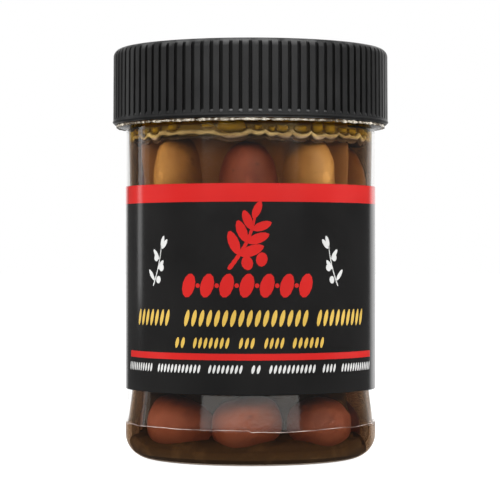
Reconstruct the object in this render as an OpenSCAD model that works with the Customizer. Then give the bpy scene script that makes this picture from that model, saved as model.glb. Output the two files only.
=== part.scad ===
// Jar of olives: a clear plastic jar with a ribbed black screw lid, a clear
// sleeve with a printed label round it, and olives in brine under a layer of oil.
// Millimetres, +Z up. The origin is the middle of the foot, on the table.

/* [Whole jar] */
// Height of the shut jar, from the foot to the top of the lid
total_h = 118; // [95:0.5:145]
// Outer diameter of the body just under the neck flange
body_d = 70.6; // [56:0.2:90]
// Wall of the body
wall = 1; // [0.6:0.1:1.6]

/* [Foot and bumper] */
// How far the bumper above the foot stands out from the body's radius
bumper_out = 1; // [0.6:0.1:2]
// Height of the ledge on top of the bumper
bumper_h = 10; // [8.5:0.5:14]
// Radius of the rounded corner under the bumper
foot_round = 7; // [4:0.5:8]
// Width of the flat ring that the jar stands on
foot_ring_w = 4; // [2:0.5:8]
// Height of the hollow in the middle of the foot
push_up = 2.4; // [1:0.2:4]
// Thickness of the floor
floor_t = 1.6; // [1:0.1:3]

/* [Body panel] */
// Radius that the panel loses from the flange down to the flare
panel_taper = 1.1; // [0:0.1:2]
// Height of the flare that widens the panel down to the bumper
flare_h = 10.4; // [5:0.2:14]
// Radius that the flare adds at its foot
flare_out = 1.3; // [0.4:0.1:2]

/* [Neck] */
// How far the neck stands out from the body's radius
neck_out = 1.25; // [0.8:0.05:2.5]
// Thickness of the flange at its edge
flange_edge_t = 0.5; // [0.4:0.1:1.5]
// Height of the flange's sloping underside
flange_slope_h = 0.5; // [0.4:0.1:2.5]
// How far the flange's edge stays inside the lid's outside
flange_inset = 1.1; // [0.5:0.1:2]

/* [Screw thread] */
// Height of the thread ridge on the neck and in the lid
thread_h = 1; // [0.6:0.1:1.4]
// Rise of the thread in one turn
thread_pitch = 5; // [4:0.25:6]
// Width of a thread ridge at its root
thread_w = 2; // [1.2:0.1:2.4]
// Turns of thread
thread_turns = 1.5; // [1:0.25:2]

/* [Lid] */
// Height of the lid
lid_h = 21.8; // [18:0.2:28]
// Wall of the lid behind the grooves
lid_wall = 1.3; // [1:0.05:2.5]
// Thickness of the lid's top
lid_top_t = 1.6; // [1:0.1:3]
// Radius of the lid's rounded top edge
lid_round = 2.3; // [1:0.1:4]
// Radius that the lid loses from its hem to its top
lid_draft = 0.1; // [0:0.1:0.8]

/* [Ribs] */
// Number of ribs round the lid
rib_count = 92; // [60:1:120]
// Depth of the grooves between the ribs
rib_depth = 0.7; // [0.3:0.05:1]
// Width of a groove at its mouth
groove_w = 1.25; // [0.6:0.05:1.4]
// Height of the plain hem under the ribs
hem_h = 1.3; // [1.2:0.1:3]
// Height of the bead round the foot of the hem, with its chamfer
bead_h = 1; // [0.8:0.1:2]
// How far the bead stands out from the ribs
bead_out = 0.15; // [0.05:0.05:0.4]
// Chamfer under the bead
hem_chamfer = 0.6; // [0.2:0.1:0.7]
// Height of the ramp that ends each groove
ramp_h = 1.1; // [0.4:0.1:3]

/* [Sleeve and label] */
// Thickness of the clear sleeve
sleeve_t = 0.15; // [0.1:0.05:0.4]
// Thickness of the printed label
label_t = 0.12; // [0.08:0.02:0.3]
// Clear height of sleeve between the flange and the label
window_top_h = 16.7; // [8:0.2:24]
// Clear height of sleeve between the bumper and the label
window_foot_h = 10.1; // [4:0.2:14]

/* [Contents] */
// Depth of the oil that shows under the flange
oil_drop = 3.5; // [1:0.2:8]
// Empty height between the oil and the rim
headspace = 5; // [2:0.5:12]

/* [Clearances] */
// Radial gap between a thread ridge and the wall it faces
thread_gap = 0.3; // [0.15:0.05:0.5]
// Gap between the lid's hem and the flange
hem_gap = 0.25; // [0.1:0.05:1]
// Gap between the rim and the lid's underside
rim_gap = 0.2; // [0.1:0.05:0.5]
// How far the sleeve's inside stays inside the bumper's radius
sleeve_inset = 0.3; // [0.2:0.05:0.6]
// Gap between each end of the sleeve and what it faces
sleeve_gap = 0.3; // [0.1:0.05:1]

/* [Hidden] */
$fn = 120;

// Heights
lid_z = total_h - lid_h;
flange_top_z = lid_z - hem_gap;
flange_z = flange_top_z - flange_edge_t - flange_slope_h;
rim_z = total_h - lid_top_t - rim_gap;
oil_z = flange_z - oil_drop;
fill_z = rim_z - headspace;

// Radii
panel_top_r = body_d / 2;
panel_foot_r = panel_top_r - panel_taper;
flare_r = panel_foot_r + flare_out;
bumper_r = panel_top_r + bumper_out;
neck_r = panel_top_r + neck_out;
bore_r = panel_top_r - wall;
lid_bore_r = neck_r + thread_h + thread_gap;
groove_r = lid_bore_r + lid_wall;
rib_r = groove_r + rib_depth;
lid_r = rib_r + bead_out;
flange_r = lid_r - flange_inset;
sleeve_r = bumper_r - sleeve_inset + sleeve_t;
ring_r = bumper_r - foot_round;
hollow_r = ring_r - foot_ring_w;

// Sleeve and label
sleeve_z = bumper_h + sleeve_gap;
sleeve_top_z = flange_z - sleeve_gap;
label_z = bumper_h + window_foot_h;
label_top_z = flange_z - window_top_h;

// Thread: a ridge's crest is this share of its root's width
crest_share = 0.35;
thread_step = 10;     // degrees from one section to the next
thread_ramp = 6;      // sections over which each end of a ridge rises
ridge_sink = 0.3;     // how deep a ridge is rooted in its wall
neck_thread_z = flange_top_z + thread_w;
lid_thread_z = neck_thread_z + thread_pitch / 2;
hollow_share = 0.6;   // flat part of the hollow under the foot
groove_root_share = 0.75;   // a groove's floor, as a share of its mouth
over = 1;             // how far a cutter runs past what it cuts

// Outline of the flare and the panel, from the bumper up to the flange, moved in by inset
function panel_points(inset) = [[flare_r - inset, bumper_h],
    [panel_foot_r - inset, bumper_h + flare_h], [panel_top_r - inset, flange_z]];

// Bumper with its rounded foot corner, from height z up to its ledge
module bumper_2d(r, z, round_r) {
    translate([0, z]) square([r - round_r, bumper_h - z]);
    translate([0, z + round_r]) square([r, bumper_h - z - round_r]);
    intersection() {
        translate([r - round_r, z + round_r]) circle(round_r);
        translate([0, z]) square([r + over, round_r]);
    }
}

module jar_outside_2d() {
    bumper_2d(bumper_r, 0, foot_round);
    polygon(concat([[0, bumper_h - over], [flare_r, bumper_h - over]],
        panel_points(0), [[0, flange_z]]));
    // Neck and flange
    polygon([[0, flange_z - over], [panel_top_r, flange_z - over], [panel_top_r, flange_z],
        [flange_r, flange_z + flange_slope_h], [flange_r, flange_top_z],
        [neck_r, flange_top_z], [neck_r, rim_z], [0, rim_z]]);
}

// Raised middle of the floor: the hollow's outline, lifted by lift
module hollow_2d(lift, below) {
    polygon([[0, -below], [hollow_r, -below], [hollow_r, lift],
        [hollow_r * hollow_share, lift + push_up], [0, lift + push_up]]);
}

// Inside of the jar, from the floor up to height top
module inside_2d(top) {
    difference() {
        intersection() {
            union() {
                bumper_2d(flare_r - wall, floor_t, foot_round - wall);
                polygon(concat([[0, bumper_h - over], [flare_r - wall, bumper_h - over]],
                    panel_points(wall), [[bore_r, rim_z + over], [0, rim_z + over]]));
            }
            square([bumper_r, top]);
        }
        hollow_2d(floor_t, over);
    }
}

// Helical ridge from root_r to crest_r, which may be the smaller, starting at z0
module thread_ridge(root_r, crest_r, z0) {
    steps = ceil(thread_turns * 360 / thread_step);
    outward = crest_r > root_r;
    sunk_r = root_r + (outward ? -ridge_sink : ridge_sink);
    points = [for (i = [0:steps])
        let (a = i * thread_turns * 360 / steps,
            z = z0 + thread_pitch * a / 360,
            rise = max(0.1, min(1, i / thread_ramp, (steps - i) / thread_ramp)),
            tip_r = root_r + (crest_r - root_r) * rise,
            half = thread_w / 2,
            tip_half = half * crest_share)
        for (p = [[sunk_r, -half], [tip_r, -tip_half], [tip_r, tip_half], [sunk_r, half]])
            [p[0] * cos(a), p[0] * sin(a), z + p[1]]];
    sides = [for (i = [0:steps - 1], j = [0:3])
        let (k = (j + 1) % 4)
        each [[4 * i + j, 4 * i + k, 4 * i + 4 + k], [4 * i + j, 4 * i + 4 + k, 4 * i + 4 + j]]];
    ends = [[3, 2, 1, 0], [for (j = [0:3]) 4 * steps + j]];
    faces = concat(sides, ends);
    polyhedron(points, outward ? faces : [for (f = faces) [for (j = [len(f) - 1:-1:0]) f[j]]]);
}

module jar() {
    color([0.86, 0.88, 0.86, 0.35]) {
        difference() {
            rotate_extrude() jar_outside_2d();
            rotate_extrude() inside_2d(rim_z + over);
            rotate_extrude() hollow_2d(0, over);
        }
        thread_ridge(neck_r, neck_r + thread_h, neck_thread_z);
    }
}

// Outline of the lid over its ribs, with a rounded top edge
module ribs_side_2d() {
    top_r = rib_r - lid_draft;
    polygon([[0, bead_h], [rib_r, bead_h], [top_r, lid_h - lid_round],
        [top_r - lid_round, lid_h], [0, lid_h]]);
    intersection() {
        translate([top_r - lid_round, lid_h - lid_round]) circle(lid_round);
        translate([0, lid_h - lid_round]) square([lid_r, lid_round]);
    }
}

// Outline of the plain hem, with its bead and the ramp that ends the grooves
module hem_2d() {
    polygon([[0, 0], [lid_r - hem_chamfer, 0], [lid_r, hem_chamfer], [lid_r, bead_h - bead_out],
        [rib_r, bead_h], [rib_r, hem_h], [groove_r, hem_h + ramp_h], [0, hem_h + ramp_h]]);
}

// Cross-section of the ribs: a ring of flat-bottomed grooves
module ribs_2d() {
    pitch = 360 / rib_count;
    mouth = asin(groove_w / 2 / rib_r);
    root = mouth * groove_root_share;
    r = rib_r + over;
    polygon([for (i = [0:rib_count - 1])
        for (p = [[groove_r, -root], [groove_r, root], [r, mouth], [r, pitch - mouth]])
            [p[0] * cos(i * pitch + p[1]), p[0] * sin(i * pitch + p[1])]]);
}

module lid() {
    color([0.1, 0.1, 0.105])
    translate([0, 0, lid_z])
    difference() {
        union() {
            intersection() {
                rotate_extrude() ribs_side_2d();
                linear_extrude(lid_h + over) ribs_2d();
            }
            rotate_extrude() hem_2d();
        }
        translate([0, 0, -over]) cylinder(r = lid_bore_r, h = lid_h - lid_top_t + over);
    }
    color([0.1, 0.1, 0.105]) thread_ridge(lid_bore_r, lid_bore_r - thread_h, lid_thread_z);
}

// Clear sleeve that stands on the bumper's ledge, a little off the panel
module sleeve() {
    color([0.9, 0.92, 0.92, 0.25])
    translate([0, 0, sleeve_z])
    difference() {
        cylinder(r = sleeve_r, h = sleeve_top_z - sleeve_z);
        translate([0, 0, -over])
            cylinder(r = sleeve_r - sleeve_t, h = sleeve_top_z - sleeve_z + 2 * over);
    }
}

// Printed label round the sleeve
module label() {
    color([0.09, 0.09, 0.09])
    translate([0, 0, label_z])
    difference() {
        cylinder(r = sleeve_r + label_t, h = label_top_z - label_z);
        translate([0, 0, -over])
            cylinder(r = sleeve_r, h = label_top_z - label_z + 2 * over);
    }
}

// Brine with the olives in it, up to the oil
module brine() {
    color([0.3, 0.2, 0.12])
    rotate_extrude() inside_2d(oil_z);
}

// Oil on the brine, up into the neck
module oil() {
    color([0.5, 0.38, 0.08])
    rotate_extrude() difference() {
        inside_2d(fill_z);
        square([bumper_r, oil_z]);
    }
}

jar();
lid();
sleeve();
label();
brine();
oil();
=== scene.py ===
import math
import random

import bpy
from mathutils import Matrix, Vector, noise


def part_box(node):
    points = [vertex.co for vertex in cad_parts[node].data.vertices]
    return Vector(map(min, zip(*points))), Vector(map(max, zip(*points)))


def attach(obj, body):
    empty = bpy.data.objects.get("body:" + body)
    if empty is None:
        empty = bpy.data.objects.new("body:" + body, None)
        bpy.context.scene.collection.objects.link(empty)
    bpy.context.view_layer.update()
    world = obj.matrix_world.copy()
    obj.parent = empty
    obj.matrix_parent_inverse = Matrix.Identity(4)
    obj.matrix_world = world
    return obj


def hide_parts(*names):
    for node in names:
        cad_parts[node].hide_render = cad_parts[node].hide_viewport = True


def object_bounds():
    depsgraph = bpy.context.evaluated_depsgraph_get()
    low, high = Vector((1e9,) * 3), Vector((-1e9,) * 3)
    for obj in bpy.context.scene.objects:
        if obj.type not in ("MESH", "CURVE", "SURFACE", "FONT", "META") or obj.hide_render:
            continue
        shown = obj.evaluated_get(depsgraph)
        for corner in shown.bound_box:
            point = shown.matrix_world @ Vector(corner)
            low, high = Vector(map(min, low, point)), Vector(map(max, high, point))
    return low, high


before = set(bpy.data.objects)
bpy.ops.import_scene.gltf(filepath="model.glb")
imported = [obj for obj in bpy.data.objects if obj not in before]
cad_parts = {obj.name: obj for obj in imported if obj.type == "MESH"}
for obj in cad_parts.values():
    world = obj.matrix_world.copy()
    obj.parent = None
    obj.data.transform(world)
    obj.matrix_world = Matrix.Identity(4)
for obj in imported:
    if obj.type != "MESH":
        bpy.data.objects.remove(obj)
cad_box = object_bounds()

MM = 0.001
TAU = 2 * math.pi

# ---------------------------------------------------------------- sizes, in metres
lid_low, lid_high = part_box("lid")
jar_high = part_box("jar")[1]
label_low, label_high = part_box("label")
sleeve_low, sleeve_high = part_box("sleeve")
brine_low, brine_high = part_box("brine")
oil_low, oil_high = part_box("oil")

# heights
OIL_Z = brine_high[2]                   # where the brine ends and the oil starts
FILL_Z = oil_high[2]                    # top of the oil
FLANGE_Z = oil_low[2] + 3.5 * MM        # foot of the flange
RIM_Z = jar_high[2]
LID_TOP_Z = lid_high[2]

# jar
WALL = 1.0 * MM
BUMPER_R = 36.3 * MM
BUMPER_H = 10.0 * MM
FOOT_ROUND = 7.0 * MM
PANEL_FOOT_R = 34.2 * MM
PANEL_TOP_R = 35.3 * MM
FLARE_OUT = 1.3 * MM
FLARE_H = 10.4 * MM
FLOOR_T = 1.6 * MM
PUSH_UP = 2.4 * MM                      # how far the middle of the foot is raised
HOLLOW_R = 25.3 * MM
FLANGE_R = jar_high[0]
BORE_R = oil_high[0]
NECK_R = 36.55 * MM
THREAD_DEEP = 1.0 * MM
THREAD_PITCH = 5.0 * MM
THREAD_W = 2.0 * MM

# lid
RIB_R = 39.8 * MM                       # over the ribs
LID_ROUND = 2.3 * MM                    # of the upper edge
LID_HEM = 1.3 * MM                      # plain band below the grooves
RAMP_H = 1.3 * MM                       # slope at the foot of each groove

# sleeve and label
SLEEVE_R = sleeve_high[0]
LABEL_R = label_high[0]
LABEL_T = LABEL_R - SLEEVE_R
LABEL_H = label_high[2] - label_low[2]
PRINT_T = 0.03 * MM                     # thickness of the ink shapes
LAP = math.radians(9)                   # how far the label's end lies over its start

# contents
SINK = 0.08 * MM                        # how far inside the jar's outside the brine ends
CORE_SKIN = 0.35 * MM                   # how far inside the outside the cloudy middle starts
CORE_DEPTH = 7.6 * MM                   # how much further in it lies between the olives
CORE_LOW = 1.6 * MM                     # heights between which it draws back from the wall
CORE_HIGH = 7.4 * MM
LEAN = 13                               # degrees that the front olives lean out against the wall

SHARP = math.radians(30)                # edges sharper than this stay sharp

# ---------------------------------------------------------------- node helpers


class Tree:
    """A node tree that nodes are added to with their inputs, each a value or a socket."""

    def __init__(self, owner):
        owner.use_nodes = True
        self.tree = owner.node_tree
        self.tree.nodes.clear()

    def add(self, kind, inputs=None, **settings):
        made = self.tree.nodes.new(kind)
        for key, value in settings.items():
            setattr(made, key, value)
        for key, value in (inputs or {}).items():
            self.feed(made.inputs[key], value)
        return made

    def feed(self, socket, value):
        if isinstance(value, bpy.types.NodeSocket):
            self.tree.links.new(value, socket)
        else:
            socket.default_value = value

    def math(self, operation, *values):
        made = self.add("ShaderNodeMath", operation=operation)
        for socket, value in zip(made.inputs, values):
            self.feed(socket, value)
        return made.outputs[0]

    def place(self):
        return self.add("ShaderNodeTexCoord").outputs["Object"]

    def parts(self, of=None):
        """X, Y and Z of a vector, or of the place on the object."""
        return self.add("ShaderNodeSeparateXYZ", {0: of or self.place()}).outputs

    def between(self, value, start, end, most=1.0, **settings):
        """0 at start, most at end, and level outside them."""
        return self.add(
            "ShaderNodeMapRange",
            {"Value": value, "From Min": start, "From Max": end, "To Max": most},
            **settings,
        ).outputs[0]

    def noise(self, scale, detail=3.0, roughness=0.5, at=None):
        return self.add(
            "ShaderNodeTexNoise",
            {"Vector": at or self.place(), "Scale": scale, "Detail": detail, "Roughness": roughness},
        ).outputs["Fac"]

    def ramp(self, factor, *stops):
        """Colour ramp with stops (position, colour)."""
        made = self.add("ShaderNodeValToRGB", {"Fac": factor})
        points = made.color_ramp.elements
        while len(points) < len(stops):
            points.new(1.0)
        for point, (position, colour) in zip(points, stops):
            point.position = position
            point.color = rgba(colour)
        return made.outputs["Color"]

    def mix(self, factor, a, b):
        made = self.add("ShaderNodeMix", data_type="RGBA")
        self.feed(made.inputs["Factor"], factor)
        self.feed(made.inputs["A"], a)
        self.feed(made.inputs["B"], b)
        return made.outputs["Result"]

    def bump(self, height, strength, distance):
        return self.add(
            "ShaderNodeBump", {"Height": height, "Strength": strength, "Distance": distance}
        ).outputs["Normal"]


def grey(value):
    return (value, value, value)


def rgba(colour):
    return (*colour, 1)


# ---------------------------------------------------------------- materials


def principled(name, work, roughness=0.5, **sockets):
    """Opaque material. work(tree) gives the socket for colour, and may give roughness and normal."""
    material = bpy.data.materials.new(name)
    tree = Tree(material)
    made = work(tree)
    shader = tree.add("ShaderNodeBsdfPrincipled")
    tree.feed(shader.inputs["Base Color"], made["colour"])
    tree.feed(shader.inputs["Roughness"], made.get("roughness", roughness))
    if "normal" in made:
        tree.feed(shader.inputs["Normal"], made["normal"])
    for key, value in sockets.items():
        shader.inputs[key.replace("_", " ")].default_value = value
    tree.add("ShaderNodeOutputMaterial", {"Surface": shader.outputs[0]})
    return material


def clear(name, tint, edge_tint, mirror, edge_mirror, ripple, ripple_scale, grain, roughness=0.05):
    """See-through material that mirrors more, and lets less through, at a glancing angle."""
    material = bpy.data.materials.new(name)
    tree = Tree(material)
    height = tree.math("MULTIPLY_ADD", tree.noise(1100.0, 2.0), grain, tree.noise(ripple_scale, 2.0))
    normal = tree.bump(height, ripple, 0.2 * MM)
    facing = tree.add("ShaderNodeLayerWeight", {"Blend": 0.5}).outputs["Facing"]
    rim = tree.math("POWER", facing, 5.0)
    share = tree.math("MULTIPLY_ADD", rim, edge_mirror - mirror, mirror)
    passed = tree.mix(rim, rgba(tint), rgba(edge_tint))
    through = tree.add("ShaderNodeBsdfTransparent", {"Color": passed})
    shine = tree.add(
        "ShaderNodeBsdfGlossy", {"Color": rgba(grey(1)), "Roughness": roughness, "Normal": normal}
    )
    both = tree.add("ShaderNodeMixShader", {0: share, 1: through.outputs[0], 2: shine.outputs[0]})
    tree.add("ShaderNodeOutputMaterial", {"Surface": both.outputs[0]})
    return material


def liquid(name, tint, absorb):
    """A liquid behind a clear wall: no mirror of its own, tinted by its depth.
    absorb is how much red, green and blue it takes up in a metre."""
    material = bpy.data.materials.new(name)
    tree = Tree(material)
    through = tree.add("ShaderNodeBsdfTransparent", {"Color": rgba(tint)})
    most = max(absorb)
    inside = tree.add("ShaderNodeVolumeAbsorption")
    inside.inputs["Color"].default_value = rgba([1 - a / most for a in absorb])
    inside.inputs["Density"].default_value = most
    tree.add(
        "ShaderNodeOutputMaterial", {"Surface": through.outputs[0], "Volume": inside.outputs[0]}
    )
    return material


def groove_mask(tree, x, y, z):
    """1 down in the lid's grooves, 0 on its ribs, its flat top and its hem."""
    radius = tree.math("SQRT", tree.math("ADD", tree.math("POWER", x, 2.0), tree.math("POWER", y, 2.0)))
    up = tree.math("MAXIMUM", tree.math("SUBTRACT", z, LID_TOP_Z - LID_ROUND), 0.0)
    arch = tree.math("SUBTRACT", LID_ROUND**2, tree.math("POWER", up, 2.0))
    rounded = tree.math("SQRT", tree.math("MAXIMUM", arch, 0.0))
    rib_face = tree.math("ADD", rounded, RIB_R - LID_ROUND)
    deep = tree.between(tree.math("SUBTRACT", rib_face, radius), 0.12 * MM, 0.42 * MM)
    return tree.math("MULTIPLY", deep, tree.math("LESS_THAN", z, LID_TOP_Z - 0.25 * MM))


def lid_work(tree):
    """Satin black: rougher in the grooves, with painted shade that darkens them, a painted highlight on
    their ramps and another along the upper edge.
    """
    parts = tree.parts()
    z = parts["Z"]
    groove = groove_mask(tree, parts["X"], parts["Y"], z)
    rib = tree.math("SUBTRACT", 1.0, groove)

    on_ramp = tree.between(z, lid_low[2] + LID_HEM + RAMP_H, lid_low[2] + LID_HEM)
    dull = tree.math("MULTIPLY", groove, tree.math("SUBTRACT", 1.0, on_ramp))
    # painted highlight: pale patches on the groove ramps, where light from above would glint
    ramp_highlight_patches = tree.ramp(tree.noise(45.0), (0.42, grey(0.15)), (0.56, grey(1)))
    pale = tree.math("MULTIPLY", groove, tree.math("GREATER_THAN", on_ramp, 0.35))
    pale = tree.math("MULTIPLY", pale, ramp_highlight_patches)

    # painted highlight: pale specks on the rib tops near the upper edge, where light from above would catch
    near_top = tree.between(z, LID_TOP_Z - 2.2 * MM, LID_TOP_Z - 0.8 * MM)
    on_side = tree.math("LESS_THAN", z, LID_TOP_Z - 0.15 * MM)
    edge = tree.math("MULTIPLY", near_top, tree.math("MULTIPLY", on_side, rib))
    highlight_specks = tree.ramp(tree.noise(260.0), (0.4, grey(0.1)), (0.6, grey(0.9)))
    edge_highlight = tree.math("MULTIPLY", edge, highlight_specks)

    smear = tree.noise(90.0, 4.0, 0.6)
    face = tree.ramp(smear, (0.3, (0.0095, 0.0095, 0.0097)), (0.75, grey(0.015)))
    face = tree.mix(edge_highlight, face, rgba(grey(0.06)))
    # painted shade: the grooves' colour is darkened to near black
    base = tree.mix(groove, face, rgba(grey(0.0025)))
    gloss = tree.math("MULTIPLY_ADD", smear, 0.16, 0.27)
    return {
        # the pale ramps are a painted highlight over the face and its painted groove shade
        "colour": tree.mix(pale, base, rgba(grey(0.13))),
        "roughness": tree.math("MULTIPLY_ADD", dull, 0.4, gloss),
        "normal": tree.bump(tree.noise(1800.0, 2.0), 0.12, 0.05 * MM),
    }


def film_print_work(dark, light):
    """Printed film: glossy, with slow waves and fine unevenness."""

    def work(tree):
        wave = tree.noise(55.0, 2.0)
        fine = tree.noise(700.0, 2.0)
        return {
            "colour": tree.ramp(wave, (0.3, dark), (0.7, light)),
            "roughness": tree.math("MULTIPLY_ADD", fine, 0.1, 0.1),
            "normal": tree.bump(wave, 0.25, 0.15 * MM),
        }

    return work


def olive_work(dark, light, spot):
    """Skin in two tones, with pale pores, dull bruises and a tone for each olive, and painted shade that
    darkens it near the jar's foot.
    """

    def work(tree):
        place = tree.place()
        tone = tree.add("ShaderNodeAttribute", attribute_name="tone").outputs["Fac"]
        broad = tree.noise(160.0, 3.0, 0.55, place)
        blend = tree.math("MULTIPLY_ADD", tone, 0.5, tree.math("MULTIPLY", broad, 0.7))
        skin = tree.ramp(blend, (0.3, dark), (0.75, light))
        pores = tree.add("ShaderNodeTexVoronoi", {"Vector": place, "Scale": 1300.0}).outputs["Distance"]
        pore = tree.ramp(pores, (0.1, grey(0.16)), (0.22, grey(0)))
        with_pores = tree.mix(pore, skin, rgba(light))
        bruise = tree.ramp(tree.noise(230.0, 2.0, 0.5, place), (0.68, grey(0)), (0.78, grey(0.6)))
        wrinkle = tree.noise(420.0, 3.0, 0.6, place)
        # painted shade: the olives darken below 11 mm, towards the jar's foot, where less light reaches
        sunk = tree.between(tree.parts(place)["Z"], 11 * MM, 2.5 * MM, 0.9)
        bare = tree.mix(bruise, with_pores, rgba(spot))
        return {
            "colour": tree.mix(sunk, bare, (0.035, 0.018, 0.009, 1)),
            "roughness": tree.math("MULTIPLY_ADD", broad, 0.2, 0.34),
            "normal": tree.bump(wrinkle, 0.3, 0.25 * MM),
        }

    return work


def murk_work(dark, light):
    """Cloudy colour between two tones."""

    def work(tree):
        return {"colour": tree.ramp(tree.noise(110.0, 4.0, 0.6), (0.35, dark), (0.68, light))}

    return work


def depth_work(low_colour, high_colour, low, high):
    """Cloudy colour that turns from one tone to another between two heights."""

    def work(tree):
        share = tree.between(tree.parts()["Z"], low, high)
        cloud = tree.math("MULTIPLY_ADD", tree.noise(140.0, 4.0, 0.6), 0.36, -0.18)
        share = tree.math("ADD", share, cloud)
        return {"colour": tree.ramp(share, (0.0, low_colour), (1.0, high_colour))}

    return work


def rim_work(tree):
    """Crinkled edge of clear film, coloured as a painted highlight: pale on the folds that would catch the
    light, dark in the creases between them.
    """
    fine = tree.math("MULTIPLY", tree.noise(900.0, 4.0, 0.65), 0.6)
    crease_and_glint = tree.math("MULTIPLY_ADD", tree.noise(90.0), 0.4, fine)
    return {
        "colour": tree.ramp(crease_and_glint, (0.44, (0.07, 0.052, 0.034)), (0.6, (0.56, 0.51, 0.42))),
        "roughness": tree.math("MULTIPLY_ADD", crease_and_glint, 0.3, 0.1),
        "normal": tree.bump(crease_and_glint, 0.6, 0.2 * MM),
    }


LID = principled("lid_plastic", lid_work, Specular_IOR_Level=0.3)
CLEAR_PLASTIC = clear(
    "clear_plastic", tint=(0.985, 0.985, 0.98), edge_tint=(0.45, 0.36, 0.28),
    mirror=0.04, edge_mirror=0.4, ripple=0.15, ripple_scale=60.0, grain=0.4,
)
FILM = clear(
    "clear_film", tint=(0.985, 0.985, 0.985), edge_tint=(0.9, 0.89, 0.88),
    mirror=0.06, edge_mirror=0.6, ripple=0.25, ripple_scale=45.0, grain=0.0,
)
# the sleeve's rolled lower edge: pale partly as the film's own whiteness, partly as a painted highlight
# where the edge catches light
FILM_EDGE = principled("film_edge", murk_work((0.1, 0.06, 0.05), (0.6, 0.5, 0.46)), 0.2)
RIM = principled("rim_edge", rim_work)
LABEL_BLACK = principled("label_black", film_print_work((0.0062, 0.0060, 0.0060), (0.0095, 0.0092, 0.0090)))
LABEL_RED = principled("label_red", film_print_work((0.37, 0.011, 0.01), (0.41, 0.014, 0.012)))
LABEL_YELLOW = principled("label_yellow", film_print_work((0.43, 0.28, 0.053), (0.5, 0.33, 0.07)))
LABEL_WHITE = principled("label_white", film_print_work((0.42, 0.42, 0.41), (0.5, 0.5, 0.49)))
BRINE = liquid("brine", (0.97, 0.95, 0.93), (85, 112, 145))
OIL = liquid("oil", (0.98, 0.95, 0.86), (40, 70, 230))
OLIVE_TAN = principled(
    "olive_tan", olive_work((0.42, 0.19, 0.042), (0.68, 0.37, 0.1), (0.2, 0.09, 0.03)),
    Specular_IOR_Level=0.35,
)
OLIVE_RED = principled(
    "olive_red", olive_work((0.19, 0.036, 0.016), (0.34, 0.098, 0.05), (0.04, 0.02, 0.018)),
    Specular_IOR_Level=0.35,
)
# painted shade: the cloudy middle's colour darkens from 85 mm down to 12 mm, towards the foot
MURK = principled(
    "brine_murk", depth_work((0.045, 0.025, 0.011), (0.56, 0.32, 0.135), 12 * MM, 85 * MM),
    0.7, Specular_IOR_Level=0.0,
)
EMULSION = principled(
    "emulsion", murk_work((0.27, 0.18, 0.11), (0.7, 0.56, 0.41)),
    0.6, Specular_IOR_Level=0.1,
)
FOAM = principled(
    "emulsion_band", depth_work((0.15, 0.09, 0.05), (0.48, 0.32, 0.13), 90.2 * MM, 94.5 * MM),
    0.6, Specular_IOR_Level=0.1,
)
OIL_DROP = principled(
    "oil_drop", depth_work((0.2, 0.12, 0.005), (0.75, 0.43, 0.018), 92.5 * MM, 95.4 * MM),
    0.12, Specular_IOR_Level=0.3,
)

# ---------------------------------------------------------------- mesh helpers


def make(name, points, faces, material, slot, replaced=()):
    """One piece that rides with the jar, smooth but for its sharp edges."""
    mesh = bpy.data.meshes.new(name)
    mesh.from_pydata(points, [], faces)
    mesh.validate()
    mesh.materials.append(material)
    mesh.shade_smooth()
    mesh.set_sharp_from_angle(angle=SHARP)
    piece = bpy.data.objects.new(name, mesh)
    bpy.context.scene.collection.objects.link(piece)
    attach(piece, "root")
    if replaced:
        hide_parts(*replaced)
    return piece


def join(meshes):
    """One list of points and one of faces from several (points, faces)."""
    points, faces = [], []
    for some, sides in meshes:
        faces += [[i + len(points) for i in face] for face in sides]
        points += some
    return points, faces


def polar(radius, angle, height):
    """Point at an angle measured from the front, -Y, towards +X."""
    return (radius * math.sin(angle), -radius * math.cos(angle), height)


def revolve(outline, steps, bend=None, ring=False):
    """Points and faces of an outline of (radius, height) turned about Z.
    bend(angle, radius, height) gives the radius and height that a point moves to.
    ring closes the outline on itself; otherwise it ends on the axis."""
    points, rows = [], []
    for radius, height in outline:
        if radius < 1e-7:
            rows.append([len(points)] * steps)
            points.append((0.0, 0.0, height))
            continue
        rows.append(list(range(len(points), len(points) + steps)))
        for k in range(steps):
            angle = TAU * k / steps
            r, z = bend(angle, radius, height) if bend else (radius, height)
            points.append(polar(r, angle, z))
    faces = []
    uppers = rows[1:] + rows[:1] if ring else rows[1:]
    for low, high in zip(rows, uppers):
        for k in range(steps):
            n = (k + 1) % steps
            face = []
            for i in (low[k], low[n], high[n], high[k]):
                if i not in face:
                    face.append(i)
            if len(face) > 2:
                faces.append(face)
    return points, faces


def grow(outline, by):
    """Outline moved outwards along its own normals. by is a distance, or gives one for a height."""
    moved = []
    for i, (r, z) in enumerate(outline):
        before, after = outline[max(i - 1, 0)], outline[min(i + 1, len(outline) - 1)]
        dr, dz = after[0] - before[0], after[1] - before[1]
        size = math.hypot(dr, dz) or 1
        far = by(z) if callable(by) else by
        moved.append((max(r + far * dz / size, 0.0), z - far * dr / size))
    return moved


def round_section(radius, half, sides):
    """Outline of a thin round ring."""
    turns = [TAU * k / sides for k in range(sides)]
    return [(radius + half * math.cos(a), half * math.sin(a)) for a in turns]


def wavy(angle, seed, scale):
    """Smooth noise round the jar, from -1 to 1."""
    return noise.noise(Vector((math.cos(angle) * scale, math.sin(angle) * scale, seed)))


def apart(here, middle):
    """Degrees from one angle to another, from -180 to 180."""
    return (here - middle + 180) % 360 - 180


# ---------------------------------------------------------------- jar


def corner(centre_r, centre_z, radius, start, end, steps=10):
    """Points of an arc, in degrees from outwards towards up."""
    spots = []
    for k in range(steps + 1):
        a = math.radians(start + (end - start) * k / steps)
        spots.append((centre_r + radius * math.cos(a), centre_z + radius * math.sin(a)))
    return spots


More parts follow.
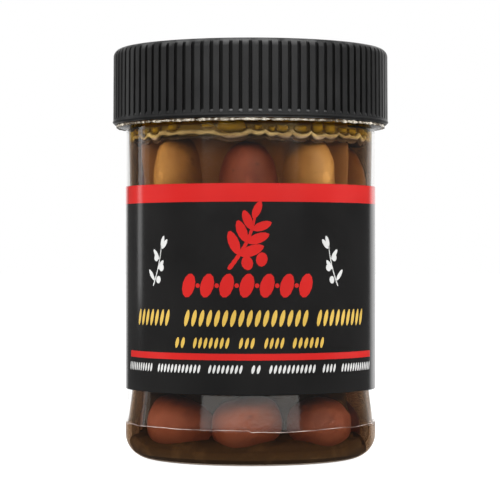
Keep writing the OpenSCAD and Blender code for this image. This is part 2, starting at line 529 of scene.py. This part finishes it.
def flare(inset, steps=12):
    """Side of the body from the bumper's ledge up to the panel, moved in by inset."""
    return [
        (PANEL_FOOT_R + FLARE_OUT * (1 - k / steps) - inset, BUMPER_H + FLARE_H * k / steps)
        for k in range(steps + 1)
    ]


def hollow(lift):
    """Raised middle of the foot or of the floor, from its edge to the axis."""
    return [
        (HOLLOW_R, lift), (HOLLOW_R * 0.97, lift + 0.3 * MM), (HOLLOW_R * 0.85, lift + PUSH_UP * 0.45),
        (HOLLOW_R * 0.6, lift + PUSH_UP), (0.0, lift + PUSH_UP),
    ]


def foot_side():
    """Outside of the foot, from the axis to the bumper."""
    return hollow(0.0)[::-1] + corner(BUMPER_R - FOOT_ROUND, FOOT_ROUND, FOOT_ROUND, -90, 0, 16)


def inside_side():
    """Inside of the jar from the axis over the floor and up the wall to the neck."""
    radius = PANEL_FOOT_R + FLARE_OUT - WALL
    inner = FOOT_ROUND - WALL
    side = corner(radius - inner, FLOOR_T + inner, inner, -90, 0)
    return hollow(FLOOR_T)[::-1] + side + flare(WALL) + [(BORE_R, RIM_Z - 1 * MM)]


def outside_side(top, by):
    """Outside of the jar from the axis under the foot and up to a height, grown by a distance."""
    side = foot_side() + [(BUMPER_R, BUMPER_H)] + flare(0.0) + [(PANEL_TOP_R, top)]
    return grow(side, by)


def make_jar():
    ledge = [
        (BUMPER_R, BUMPER_H - 0.6 * MM), (BUMPER_R, BUMPER_H - 0.1 * MM), (BUMPER_R - 0.1 * MM, BUMPER_H),
    ]
    flange = [
        (PANEL_TOP_R, FLANGE_Z), (FLANGE_R, FLANGE_Z + 0.5 * MM), (FLANGE_R, FLANGE_Z + 1.0 * MM),
        (NECK_R, FLANGE_Z + 1.0 * MM), (NECK_R, RIM_Z), (BORE_R, RIM_Z),
    ]
    outline = foot_side() + ledge + flare(0.0) + flange + inside_side()[::-1]
    points, faces = join([revolve(outline, 240), thread_ridge()])
    make("jar_body", points, faces, CLEAR_PLASTIC, "clear_plastic", ["jar"])


def thread_ridge():
    """Helical ridge on the neck, one and a half turns, that fades in and out at its ends."""
    turns, steps, fade = 1.5, 90, 8
    start = FLANGE_Z + 1.0 * MM + THREAD_W
    points, faces = [], []
    for i in range(steps + 1):
        angle = math.pi / 2 + TAU * turns * i / steps
        z = start + THREAD_PITCH * turns * i / steps
        rise = max(0.1, min(1, i / fade, (steps - i) / fade))
        root, crest = NECK_R - 0.2 * MM, NECK_R + THREAD_DEEP * rise
        for r, dz in ((root, -0.5), (crest, -0.17), (crest, 0.17), (root, 0.5)):
            points.append(polar(r, angle, z + dz * THREAD_W))
    for i in range(steps):
        for j in range(4):
            k = (j + 1) % 4
            faces.append((4 * i + j, 4 * i + 4 + j, 4 * i + 4 + k, 4 * i + k))
    faces += [(0, 1, 2, 3), tuple(4 * steps + j for j in (3, 2, 1, 0))]
    return points, faces


# ---------------------------------------------------------------- liquids

# drops of oil under the flange at the front: angle and half width in degrees,
# foot and top in mm above the brine
FRONT_DROPS = [
    (-40.8, 3.1, 1.7, 3.6), (-21.0, 3.2, 2.2, 3.5), (-9.2, 7.0, 0.9, 3.9), (3.6, 2.0, 1.5, 3.1),
    (10.2, 1.6, 1.0, 2.6), (15.3, 3.1, 0.9, 3.1), (24.7, 3.4, 0.8, 3.1), (34.2, 3.2, 0.9, 3.7),
    (41.8, 3.6, 0.9, 3.6), (51.0, 3.0, 1.2, 2.9), (59.5, 3.8, 0.9, 2.8),
]


def all_drops():
    """The front drops, and more of uneven size round the rest of the jar."""
    rng = random.Random(7)
    drops = list(FRONT_DROPS)
    angle = 68.0
    while angle < 310:
        half = rng.uniform(2, 6)
        drops.append((angle + half, half, rng.uniform(0.8, 1.5), rng.uniform(2.8, 3.7)))
        angle += 2 * half + rng.uniform(1.5, 6)
    return drops


DROPS = all_drops()


def skin_z(angle):
    """Height of the scalloped skin against the wall: it hangs down under each drop."""
    here = math.degrees(angle)
    deep = 0.6
    for middle, half, low, _ in DROPS:
        reach = half + 1.6
        off = apart(here, middle)
        if abs(off) < reach:
            deep = max(deep, (2.6 - low) * math.sqrt(1 - (off / reach) ** 2))
    ripple = 0.35 * wavy(angle, 12.0, 9.0)
    return OIL_Z + (1.7 - deep + ripple) * MM


def make_liquids():
    """Brine and oil, sunk into the wall so that no gap shows."""
    side = outside_side(OIL_Z, -SINK)
    points, faces = revolve(side + [(0.0, OIL_Z)], 240)
    make("brine_fill", points, faces, BRINE, "brine", ["brine"])

    foot = OIL_Z + 0.02 * MM
    edge_r = side[-1][0]
    neck_r = BORE_R + 0.3 * MM
    outline = [
        (0.0, foot), (edge_r, foot), (edge_r, FLANGE_Z - 0.2 * MM),
        (neck_r, FLANGE_Z + 0.4 * MM), (neck_r, FILL_Z), (0.0, FILL_Z),
    ]
    points, faces = revolve(outline, 240)
    make("oil_fill", points, faces, OIL, "oil", ["oil"])


def make_skin():
    """Pale scalloped skin of oil and brine under the drops."""

    def bend(angle, radius, height):
        thick = 1.0 + 0.6 * wavy(angle, 12.3, 14.0)
        return radius, skin_z(angle) + height * thick

    outline = round_section(BORE_R - 0.75 * MM, 0.7 * MM, 10)
    points, faces = revolve(outline, 720, bend, ring=True)
    make("emulsion_skin", points, faces, EMULSION, "brine")


def make_foam():
    """Cloudy band behind the drops and the skin, whose foot follows the skin."""
    low, high, thick = -1.6 * MM, 3.3 * MM, 0.8 * MM
    front = BORE_R - 1.9 * MM
    outline = [(front - thick, low), (front, low), (front, high), (front - thick, high)]

    def bend(angle, radius, height):
        if height == low:
            return radius + 0.8 * MM, skin_z(angle) + height
        return radius + 0.4 * MM * wavy(angle, 2.0, 11.0), OIL_Z + height

    points, faces = revolve(outline, 480, bend, ring=True)
    make("emulsion_band", points, faces, FOAM, "brine")


def drop(middle, half, low, top, seed):
    """Flat-topped drop of oil pressed against the wall."""
    around, rings = 28, 8
    across = math.radians(half) * BORE_R
    tall = (top - low) / 2 * MM
    centre = OIL_Z + (top + low) / 2 * MM
    back, bulge = BORE_R - 1.5 * MM, 1.35 * MM
    points, faces = [], []
    for j in range(rings + 1):
        lean = math.pi / 2 * j / rings
        for i in range(around):
            a = TAU * i / around
            u = across * math.cos(a) * math.cos(lean)
            v = tall * math.sin(a) * math.cos(lean)
            if v > 0:
                v = tall * math.cos(lean) * min(math.sin(a) * 1.6, 1.0)
            v += 0.12 * tall * noise.noise(Vector((u * 500, seed, 0)))
            angle = math.radians(middle) + u / BORE_R
            points.append(polar(back + bulge * math.sin(lean) ** 0.7, angle, centre + v))
    for j in range(rings):
        for i in range(around):
            n = (i + 1) % around
            faces.append((j * around + i, j * around + n, (j + 1) * around + n, (j + 1) * around + i))
    faces.append(tuple(reversed(range(around))))
    return points, faces


def make_drops():
    points, faces = join([drop(*spot, n * 1.7) for n, spot in enumerate(DROPS)])
    make("oil_drops", points, faces, OIL_DROP, "oil")


# where the cloudy middle swells towards the wall, in gaps between olives:
# angle from the front and half width in degrees, how far in mm
SWELLS = [(-77.0, 12.0, 4.6), (62.0, 8.0, 4.0)]


def swell_out(angle):
    """How far the cloudy middle reaches out at an angle."""
    here = math.degrees(angle)
    far = sum(most * math.exp(-(apart(here, middle) / half) ** 2) for middle, half, most in SWELLS)
    return far * MM


def core_share(z):
    """0 at the foot, where the cloudy middle hugs the wall, to 1 where it lies deep."""
    return min(max((z - CORE_LOW) / (CORE_HIGH - CORE_LOW), 0.0), 1.0)


def make_murk():
    """Cloudy middle of the jar, between and behind the outer olives."""
    side = outside_side(FILL_Z - 3 * MM, lambda z: -(CORE_SKIN + CORE_DEPTH * core_share(z)))
    foot, top, rows = Vector(side[-2]), Vector(side[-1]), 40
    straight = [tuple(foot.lerp(top, k / rows)) for k in range(1, rows + 1)]
    outline = side[:-1] + straight + [(0.0, top[1])]

    def bend(angle, r, z):
        uneven = 0.8 * MM * noise.noise(Vector(polar(r, angle, z)) * 110) * min(r / (10 * MM), 1.0)
        swell = swell_out(angle) * min(r / (25 * MM), 1.0)
        return r + (uneven + swell) * core_share(z), z

    points, faces = revolve(outline, 160, bend)
    make("brine_core", points, faces, MURK, "brine")


# ---------------------------------------------------------------- olives


def olive(length, width, seed):
    """Points and faces of an uneven olive along Z, a little thinner towards its top."""
    around, along = 40, 30
    points = [(0, 0, -length / 2)]
    for j in range(1, along):
        t = j / along
        fat = math.sin(math.pi * t) ** 0.68
        taper = 1 + 0.10 * math.cos(math.pi * t)
        for i in range(around):
            a = TAU * i / around
            r = width / 2 * fat * taper
            p = Vector((r * math.cos(a), r * math.sin(a), -length / 2 * math.cos(math.pi * t)))
            swell = 0.022 * width * noise.noise(p * 260 + Vector((seed, 0, 0)))
            dent = 0.006 * width * noise.noise(p * 900 + Vector((0, seed, 0)))
            p += p.normalized() * (swell + dent)
            points.append(tuple(p))
    points.append((0, 0, length / 2 * 1.01))
    faces = [(0, 1 + (i + 1) % around, 1 + i) for i in range(around)]
    for j in range(along - 2):
        for i in range(around):
            a, b = 1 + j * around + i, 1 + j * around + (i + 1) % around
            faces.append((a, b, b + around, a + around))
    last = len(points) - 1
    faces += [(last, last - around + i, last - around + (i + 1) % around) for i in range(around)]
    return points, faces


def placed_olive(angle, height, length, width, tilt, turn, seed):
    """An olive against the wall at an angle from the front, bent along the wall's curve.
    tilt lays it over sideways, and turn tips its top towards the wall."""
    points, faces = olive(length, width, seed)
    tip = Matrix.Rotation(math.radians(turn), 3, "X")
    lay = Matrix.Rotation(math.radians(tilt), 3, "Y")
    spin = Matrix.Rotation(math.radians(angle), 3, "Z")
    out = BORE_R - 0.5 * MM - width / 2
    centre = Vector((0, -out, height))
    moved = []
    for p in points:
        q = lay @ (tip @ Vector(p))
        along_wall = Vector((q.x, q.y + q.x * q.x / (2 * out) * 0.8, q.z))
        moved.append(tuple(spin @ (centre + along_wall)))
    return moved, faces


def make_olives(name, material, slot, spots):
    """One joined mesh from spots of (angle, height, length, width, tilt, turn, tone), sizes in mm."""
    meshes, tones = [], []
    for n, (angle, height, length, width, tilt, turn, tone) in enumerate(spots):
        seed = 10 + 3.7 * n
        points, faces = placed_olive(angle, height * MM, length * MM, width * MM, tilt, turn, seed)
        meshes.append((points, faces))
        tones += [tone] * len(points)
    piece = make(name, *join(meshes), material, slot)
    values = piece.data.attributes.new("tone", "FLOAT", "POINT")
    values.data.foreach_set("value", tones)


def ring_spots(rng, count, start, height, lying):
    """Olives round the part of the jar that the listed ones leave free."""
    spots = {"tan": [], "red": []}
    for n in range(count):
        angle = start + (360 - 2 * start) * (n + 0.5) / count + rng.uniform(-3, 3)
        kind = ("tan", "red")[rng.randrange(2)]
        length = rng.uniform(22, 26)
        width = rng.uniform(14.5, 16.5)
        tilt = (90 + rng.uniform(-25, 25)) if lying else rng.uniform(-14, 14)
        lift = rng.uniform(-2, 1.5)
        spots[kind].append((angle, height + lift, length, width, tilt, rng.uniform(-8, 8), rng.random()))
    return spots


def make_all_olives():
    top = OIL_Z / MM
    foot = brine_low[2] / MM
    tan = [
        (-49.0, top - 12.0, 26.5, 18.0, 3, LEAN, 0.35),
        (38.0, top - 13.0, 27.0, 18.5, -2, LEAN, 0.75),
        (84.0, top - 14.5, 26.0, 15.0, 4, -2, 0.0),
    ]
    red = [
        (-1.5, top - 14.8, 27.0, 17.5, 1, LEAN, 0.35),
        (-49.0, foot + 8.3, 26.0, 18.0, 98, 0, 0.75),
        (-103.0, top - 16.5, 25.0, 15.0, -5, 0, 0.4),
        (-2.0, foot + 9.2, 20.0, 17.0, 68, 0, 0.9),
        (49.0, foot + 8.1, 26.0, 18.2, 84, 0, 0.55),
    ]
    rng = random.Random(41)
    upper = ring_spots(rng, 5, 112, top - 14.5, lying=False)
    lower = ring_spots(rng, 4, 88, foot + 9.5, lying=True)
    make_olives("olives_tan", OLIVE_TAN, "olive_tan", tan + upper["tan"] + lower["tan"])
    make_olives("olives_red", OLIVE_RED, "olive_red", red + upper["red"] + lower["red"])


# ---------------------------------------------------------------- jar rim and sleeve


def make_rim():
    """Crinkled edge of the seal that shows between the lid and the flange."""
    middle = FLANGE_Z + 0.72 * MM
    inner, outer = FLANGE_R - 0.5 * MM, FLANGE_R + 0.02 * MM
    outline = [
        (inner, -0.4 * MM), (outer, -0.38 * MM), (FLANGE_R + 0.1 * MM, 0.0),
        (outer, 0.36 * MM), (inner, 0.4 * MM),
    ]

    def bend(angle, radius, height):
        crinkle = wavy(angle, 21.0, 60.0)
        sag = wavy(angle, 5.0, 25.0)
        lift = height * (0.8 + 0.9 * sag) + 0.14 * MM * crinkle
        return radius + 0.12 * MM * crinkle, middle + lift

    points, faces = revolve(outline, 900, bend, ring=True)
    make("rim_edge", points, faces, RIM, "clear_film")


def sleeve_swell(angle, height):
    """How far the loose sleeve stands off its true radius."""
    at = Vector(polar(SLEEVE_R, angle, height * 0.35))
    return 0.04 * MM * noise.noise(at * 60)


def sleeve_foot(angle):
    """Height of the sleeve's lower edge, which dips a little at the front."""
    dip = 0.5 * math.exp(-((angle - 0.12) / 0.5) ** 2)
    return sleeve_low[2] + (0.25 * wavy(angle, 2.0, 6.0) - dip) * MM


def make_sleeve():
    """Clear film: one thin sheet, with a thickened lower edge."""
    steps, rows = 320, 60
    points, faces = [], []
    for j in range(rows + 1):
        for i in range(steps):
            angle = TAU * i / steps
            low = sleeve_foot(angle)
            z = low + (sleeve_high[2] - low) * j / rows
            points.append(polar(SLEEVE_R - 0.03 * MM + sleeve_swell(angle, z), angle, z))
    for j in range(rows):
        for i in range(steps):
            n = (i + 1) % steps
            faces.append((j * steps + i, j * steps + n, (j + 1) * steps + n, (j + 1) * steps + i))
    make("sleeve_film", points, faces, FILM, "clear_film", ["sleeve"])

    def bend(angle, radius, height):
        thick = 1.0 + 0.5 * wavy(angle, 31.0, 16.0)
        return radius, sleeve_foot(angle) + height * thick

    # its pale colour is partly a painted highlight
    outline = round_section(SLEEVE_R - 0.05 * MM, 0.1 * MM, 8)
    points, faces = revolve(outline, 480, bend, ring=True)
    make("sleeve_edge", points, faces, FILM_EDGE, "clear_film")


# ---------------------------------------------------------------- label and its print


def label_radius(angle, height):
    """Outside of the label, which climbs over its own start at the back."""
    climb = min(max((angle - math.pi + LAP) / LAP, 0), 1)
    return SLEEVE_R + LABEL_T * (0.75 + 0.45 * climb) + sleeve_swell(angle, height)


def make_label():
    """Printed film wrapped once round the sleeve, with its end lapped over its start at the back."""
    rows, steps = 36, 330
    points, faces = [], []
    for j in range(rows + 1):
        z = label_low[2] + LABEL_H * j / rows
        for i in range(steps + 1):
            a = -math.pi - LAP / 2 + (TAU + LAP) * i / steps
            r = label_radius(a, z)
            points.append(polar(r, a, z))
            points.append(polar(r - LABEL_T * 0.4, a, z))
    width = 2 * (steps + 1)
    for j in range(rows):
        for i in range(steps):
            a = j * width + 2 * i
            faces.append((a, a + 2, a + 2 + width, a + width))
            faces.append((a + 1, a + 1 + width, a + 3 + width, a + 3))
        start = j * width
        faces.append((start, start + width, start + width + 1, start + 1))
        end = start + 2 * steps
        faces.append((end + 1, end + width + 1, end + width, end))
    for i in range(steps):
        a = 2 * i
        faces.append((a, a + 1, a + 3, a + 2))
        b = rows * width + 2 * i
        faces.append((b, b + 2, b + 3, b + 1))
    make("label_wrap", points, faces, LABEL_BLACK, "label_black", ["label"])


# The print's outlines are in mm: x along the label from its front, z up from its foot.


def ellipse(x, z, width, height, turn=0.0, point=1.0, steps=28):
    """Outline of an ellipse, or of a leaf where point is over 1."""
    c, s = math.cos(math.radians(turn)), math.sin(math.radians(turn))
    outline = []
    for k in range(steps):
        a = TAU * k / steps
        u = width / 2 * math.cos(a)
        v = height / 2 * math.copysign(abs(math.sin(a)) ** point, math.sin(a))
        outline.append((x + u * c - v * s, z + u * s + v * c))
    return outline


def bar(x0, x1, z0, z1, round_r=0.0):
    """Outline of a bar, with rounded corners where round_r isn't 0."""
    if round_r <= 0:
        return [(x0, z0), (x1, z0), (x1, z1), (x0, z1)]
    right, left, high, low = x1 - round_r, x0 + round_r, z1 - round_r, z0 + round_r
    outline = []
    for cx, cz, start in ((right, high, 0), (left, high, 90), (left, low, 180), (right, low, 270)):
        outline += corner(cx, cz, round_r, start, start + 90, 6)
    return outline


def columns(outline):
    """An outline cut into upright lines, each (x, low, high)."""
    xs = [p[0] for p in outline]
    x0, x1 = min(xs), max(xs)
    count = max(6, int((x1 - x0) / 0.8))
    straight = len(outline) == 4
    cuts = []
    for k in range(count + 1):
        # closer lines near both ends, where round shapes turn fastest
        share = k / count if straight else 0.5 - 0.5 * math.cos(math.pi * k / count)
        x = min(max(x0 + (x1 - x0) * share, x0 + 1e-5), x1 - 1e-5)
        met = []
        for (ax, az), (bx, bz) in zip(outline, outline[1:] + outline[:1]):
            if (ax - x) * (bx - x) <= 0 and ax != bx:
                met.append(az + (bz - az) * (x - ax) / (bx - ax))
        cuts.append((x, min(met), max(met)))
    return cuts


def patch(outline):
    """Thin closed patch of ink on the label, for one outline."""
    cuts = columns(outline)
    points, faces = [], []
    for x, low, high in cuts:
        angle = x * MM / LABEL_R
        for z in (low, high):
            height = label_low[2] + z * MM
            base = label_radius(angle, height)
            points.append(polar(base + PRINT_T, angle, height))
            points.append(polar(base - PRINT_T, angle, height))
    end = len(points) - 4
    for a in range(0, end, 4):
        b = a + 4
        faces += [(a, b, b + 2, a + 2), (a + 1, a + 3, b + 3, b + 1)]
        faces += [(a, a + 1, b + 1, b), (a + 2, b + 2, b + 3, a + 3)]
    faces += [(0, 2, 3, 1), (end, end + 1, end + 3, end + 2)]
    return points, faces


def make_ink(name, shapes, material, slot):
    points, faces = join([patch(outline) for outline in shapes])
    make(name, points, faces, material, slot)


def twig(path, width):
    """Stem as a chain of short ovals that taper along a path."""
    shapes = []
    for k, ((x0, z0), (x1, z1)) in enumerate(zip(path, path[1:])):
        thick = width * (1 - 0.5 * k / len(path))
        lean = math.degrees(math.atan2(z1 - z0, x1 - x0))
        long = math.hypot(x1 - x0, z1 - z0) + thick * 0.8
        shapes.append(ellipse((x0 + x1) / 2, (z0 + z1) / 2, long, thick, lean, 0.6, 14))
    return shapes


def sprig(x, z, side):
    """Olive twig 12 mm tall. side is 1 for a twig that leans left going up."""
    shares = [k / 8 for k in range(9)]
    path = [(x + side * (3.2 - 5.6 * t + 2.2 * t * t), z + 11.5 * t) for t in shares]
    shapes = twig(path, 0.42)
    for k, (way, size) in enumerate(((side, 3.9), (-side, 3.2), (side, 3.6), (-side, 3.4))):
        px, pz = path[1 + 2 * k]
        shapes.append(ellipse(px + way * 1.35, pz + 1.5, size, 1.25, 90 - way * 38, 1.35))
    for k, (dx, dz) in enumerate(((-1.5, 0.2), (-1.6, 0.7), (1.3, 0.6))):
        px, pz = path[1 + 2 * k]
        shapes.append(ellipse(px + side * dx, pz + dz, 1.75, 2.1, 10 * side))
    px, pz = path[-1]
    shapes.append(ellipse(px - side * 0.4, pz + 0.9, 3.2, 1.15, 90 + side * 20, 1.35))
    return shapes


def emblem(x, z):
    """Olive branch with three pairs of leaves, a leaf at its tip and two olives, 17 mm tall."""
    lean, spread = 66, 46
    shares = [k / 12 for k in range(13)]
    path = [(x - 4.5 + 7 * t + 1.2 * math.sin(math.pi * t), z + 14 * t) for t in shares]
    shapes = twig(path, 1.3)
    for step, size, fat in ((3, 7.2, 3.0), (6, 6.6, 2.8), (9, 5.8, 2.5)):
        px, pz = path[step]
        for turn in (lean + spread, lean - spread):
            a = math.radians(turn)
            middle = (px + size * 0.52 * math.cos(a), pz + size * 0.52 * math.sin(a))
            shapes.append(ellipse(*middle, size, fat, turn, 1.3))
    px, pz = path[-1]
    shapes.append(ellipse(px + 0.6, pz + 2.0, 5.4, 2.3, lean, 1.3))
    shapes.append(ellipse(x + 0.4, z + 1.4, 3.2, 4.0, 14))
    shapes.append(ellipse(x + 4.4, z + 2.4, 3.2, 4.0, -10))
    return shapes


def hatching(spans, z, height, pitch):
    """Rows of leaves that all lean alike, in place of words. spans are (start, end)."""
    shapes = []
    for x0, x1 in spans:
        count = max(1, round((x1 - x0) / pitch))
        step = (x1 - x0) / count
        for k in range(count):
            shapes.append(ellipse(x0 + step * (k + 0.5), z, height, step * 0.6, 90 - 14, 1.2))
    return shapes


def red_print(half):
    """Band along the top, line below, branch and row of ovals."""
    top = LABEL_H / MM
    over = LAP / 2 * LABEL_R / MM
    shapes = [bar(-half, half + over, top - 5.1, top - 0.02), bar(-44.2, 44.2, 9.5, 11.3)]
    shapes += emblem(-1.3, 34.8)
    step = 5.6
    shapes += [ellipse(-17.8 + step * k, 30.0, 6.9, 3.9, 90 - 16) for k in range(7)]
    shapes += [ellipse(-15.0 + step * k, 30.0, 1.3, 1.3) for k in range(6)]
    return shapes


def yellow_print():
    """Two rows of hatching below the ovals."""
    shapes = hatching(((-38.5, -24.0), (-19.5, 16.8), (19.0, 38.5)), 21.0, 4.9, 2.2)
    words = ((-22.5, -18.7), (-16.6, -5.6), (-3.4, 1.4), (3.6, 9.6), (11.6, 21.8))
    return shapes + hatching(words, 14.2, 3.2, 1.6)


def white_print(half):
    """Twigs at both sides, hatching along the foot, and short lines at the back."""
    shapes = sprig(-27.5, 29.9, -1) + sprig(23.4, 29.9, 1)
    words = ((-45, -31), (-29, -14), (-12, -2), (0, 3), (5, 19), (21, 26), (28, 44))
    shapes += hatching(words, 7.0, 2.5, 1.25)
    for k in range(9):
        z = 40 - 3.2 * k
        uneven = k % 3
        for x0, x1 in ((half - 24, half - 13 - uneven), (half - 11 - uneven, half - 4)):
            shapes.append(bar(x0, x1, z, z + 0.9, 0.4))
    return shapes


def make_print():
    half = math.pi * LABEL_R / MM
    make_ink("print_red", red_print(half), LABEL_RED, "label_red")
    make_ink("print_yellow", yellow_print(), LABEL_YELLOW, "label_yellow")
    make_ink("print_white", white_print(half), LABEL_WHITE, "label_white")


# ---------------------------------------------------------------- stage


def soft_box(name, angle, elevation, distance, size, power, glossy=True, diffuse=True):
    """Rectangular light that faces the jar. angle is from the front, towards +X, in degrees."""
    data = bpy.data.lights.new(name, "AREA")
    data.shape = "RECTANGLE"
    data.size, data.size_y = size
    data.energy = power
    lamp = bpy.data.objects.new(name, data)
    up = math.radians(elevation)
    middle = Vector((0, 0, (cad_box[0][2] + cad_box[1][2]) / 2))
    way = Vector(polar(math.cos(up), math.radians(angle), math.sin(up)))
    lamp.location = middle + way * distance
    lamp.rotation_euler = (-way).to_track_quat("-Z", "Y").to_euler()
    lamp.visible_camera = False
    lamp.visible_glossy = glossy
    lamp.visible_diffuse = diffuse
    bpy.context.scene.collection.objects.link(lamp)


def make_world():
    """White to the camera, dim and even for soft light, and in reflections bright only
    behind the jar and overhead."""
    world = bpy.data.worlds.new("studio")
    bpy.context.scene.world = world
    tree = Tree(world)
    path = tree.add("ShaderNodeLightPath").outputs
    parts = tree.parts(tree.add("ShaderNodeTexCoord").outputs["Generated"])
    # reaches a little further round on the right
    towards = tree.math("MULTIPLY_ADD", parts["X"], 0.12, parts["Y"])
    behind = tree.between(towards, 0.84, 0.93, interpolation_type="SMOOTHSTEP")
    above = tree.between(parts["Z"], -0.25, -0.05)
    overhead = tree.between(parts["Z"], 0.8, 0.95, 0.7)
    mirror = tree.math("ADD", tree.math("MULTIPLY", behind, above), 0.08)
    mirror = tree.math("ADD", mirror, overhead)
    for_shine = tree.math("MULTIPLY", mirror, path["Is Glossy Ray"])
    for_soft = tree.math("MULTIPLY", 0.5, path["Is Diffuse Ray"])
    seen = tree.math("ADD", path["Is Camera Ray"], tree.math("ADD", for_shine, for_soft))
    back = tree.add("ShaderNodeBackground", {"Color": rgba(grey(1)), "Strength": seen})
    tree.add("ShaderNodeOutputWorld", {"Surface": back.outputs[0]})


def make_floor():
    """White floor that doesn't show in the jar."""
    half = 6.0
    mesh = bpy.data.meshes.new("floor")
    corners = [(-half, -half, 0), (half, -half, 0), (half, half, 0), (-half, half, 0)]
    mesh.from_pydata(corners, [], [(0, 1, 2, 3)])
    material = bpy.data.materials.new("floor")
    tree = Tree(material)
    glow = tree.add("ShaderNodeEmission", {"Color": rgba(grey(1)), "Strength": 0.8})
    matt = tree.add("ShaderNodeBsdfDiffuse", {"Color": rgba(grey(0.5))})
    both = tree.add("ShaderNodeAddShader", {0: glow.outputs[0], 1: matt.outputs[0]})
    tree.add("ShaderNodeOutputMaterial", {"Surface": both.outputs[0]})
    mesh.materials.append(material)
    floor = bpy.data.objects.new("floor", mesh)
    floor.location.z = cad_box[0][2] - 0.02 * MM
    floor.visible_glossy = False
    floor.visible_diffuse = False
    bpy.context.scene.collection.objects.link(floor)


def make_camera():
    """Long lens, level with the middle of the jar."""
    height = cad_box[1][2] - cad_box[0][2]
    distance = 0.62
    width_seen = 0.1455
    data = bpy.data.cameras.new("camera")
    data.sensor_width = 36
    data.lens = data.sensor_width * distance / width_seen
    data.shift_y = 0.0116
    data.shift_x = -0.001
    camera = bpy.data.objects.new("camera", data)
    camera.location = (0, -distance, cad_box[0][2] + 0.494 * height)
    camera.rotation_euler = (math.radians(90), 0, 0)
    bpy.context.scene.collection.objects.link(camera)
    bpy.context.scene.camera = camera


def make_lights():
    """Soft keys and fills that don't show in the shine, and cards that show only there."""
    for side, word in ((-1, "left"), (1, "right")):
        soft_box("key_" + word, side * 48, 30, 1.0, (0.9, 0.8), 13.2, glossy=False)
        soft_box("fill_" + word, side * 98, 8, 1.0, (0.7, 0.8), 10, glossy=False)
        soft_box("high_card_" + word, side * 27, 68, 1.0, (0.35, 0.25), 0.9, diffuse=False)
    soft_box("key_card", 0, 30, 1.0, (2.25, 0.85), 7.8, diffuse=False)
    soft_box("left_strip", -120, 12, 0.9, (0.12, 0.45), 0.24, diffuse=False)


# ---------------------------------------------------------------- all together

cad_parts["lid"].data.materials.clear()
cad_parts["lid"].data.materials.append(LID)

make_jar()
make_liquids()
make_skin()
make_foam()
make_drops()
make_murk()
make_all_olives()
make_rim()
make_sleeve()
make_label()
make_print()
make_world()
make_floor()
make_lights()
make_camera()
bpy.context.scene.view_settings.view_transform = "Standard"
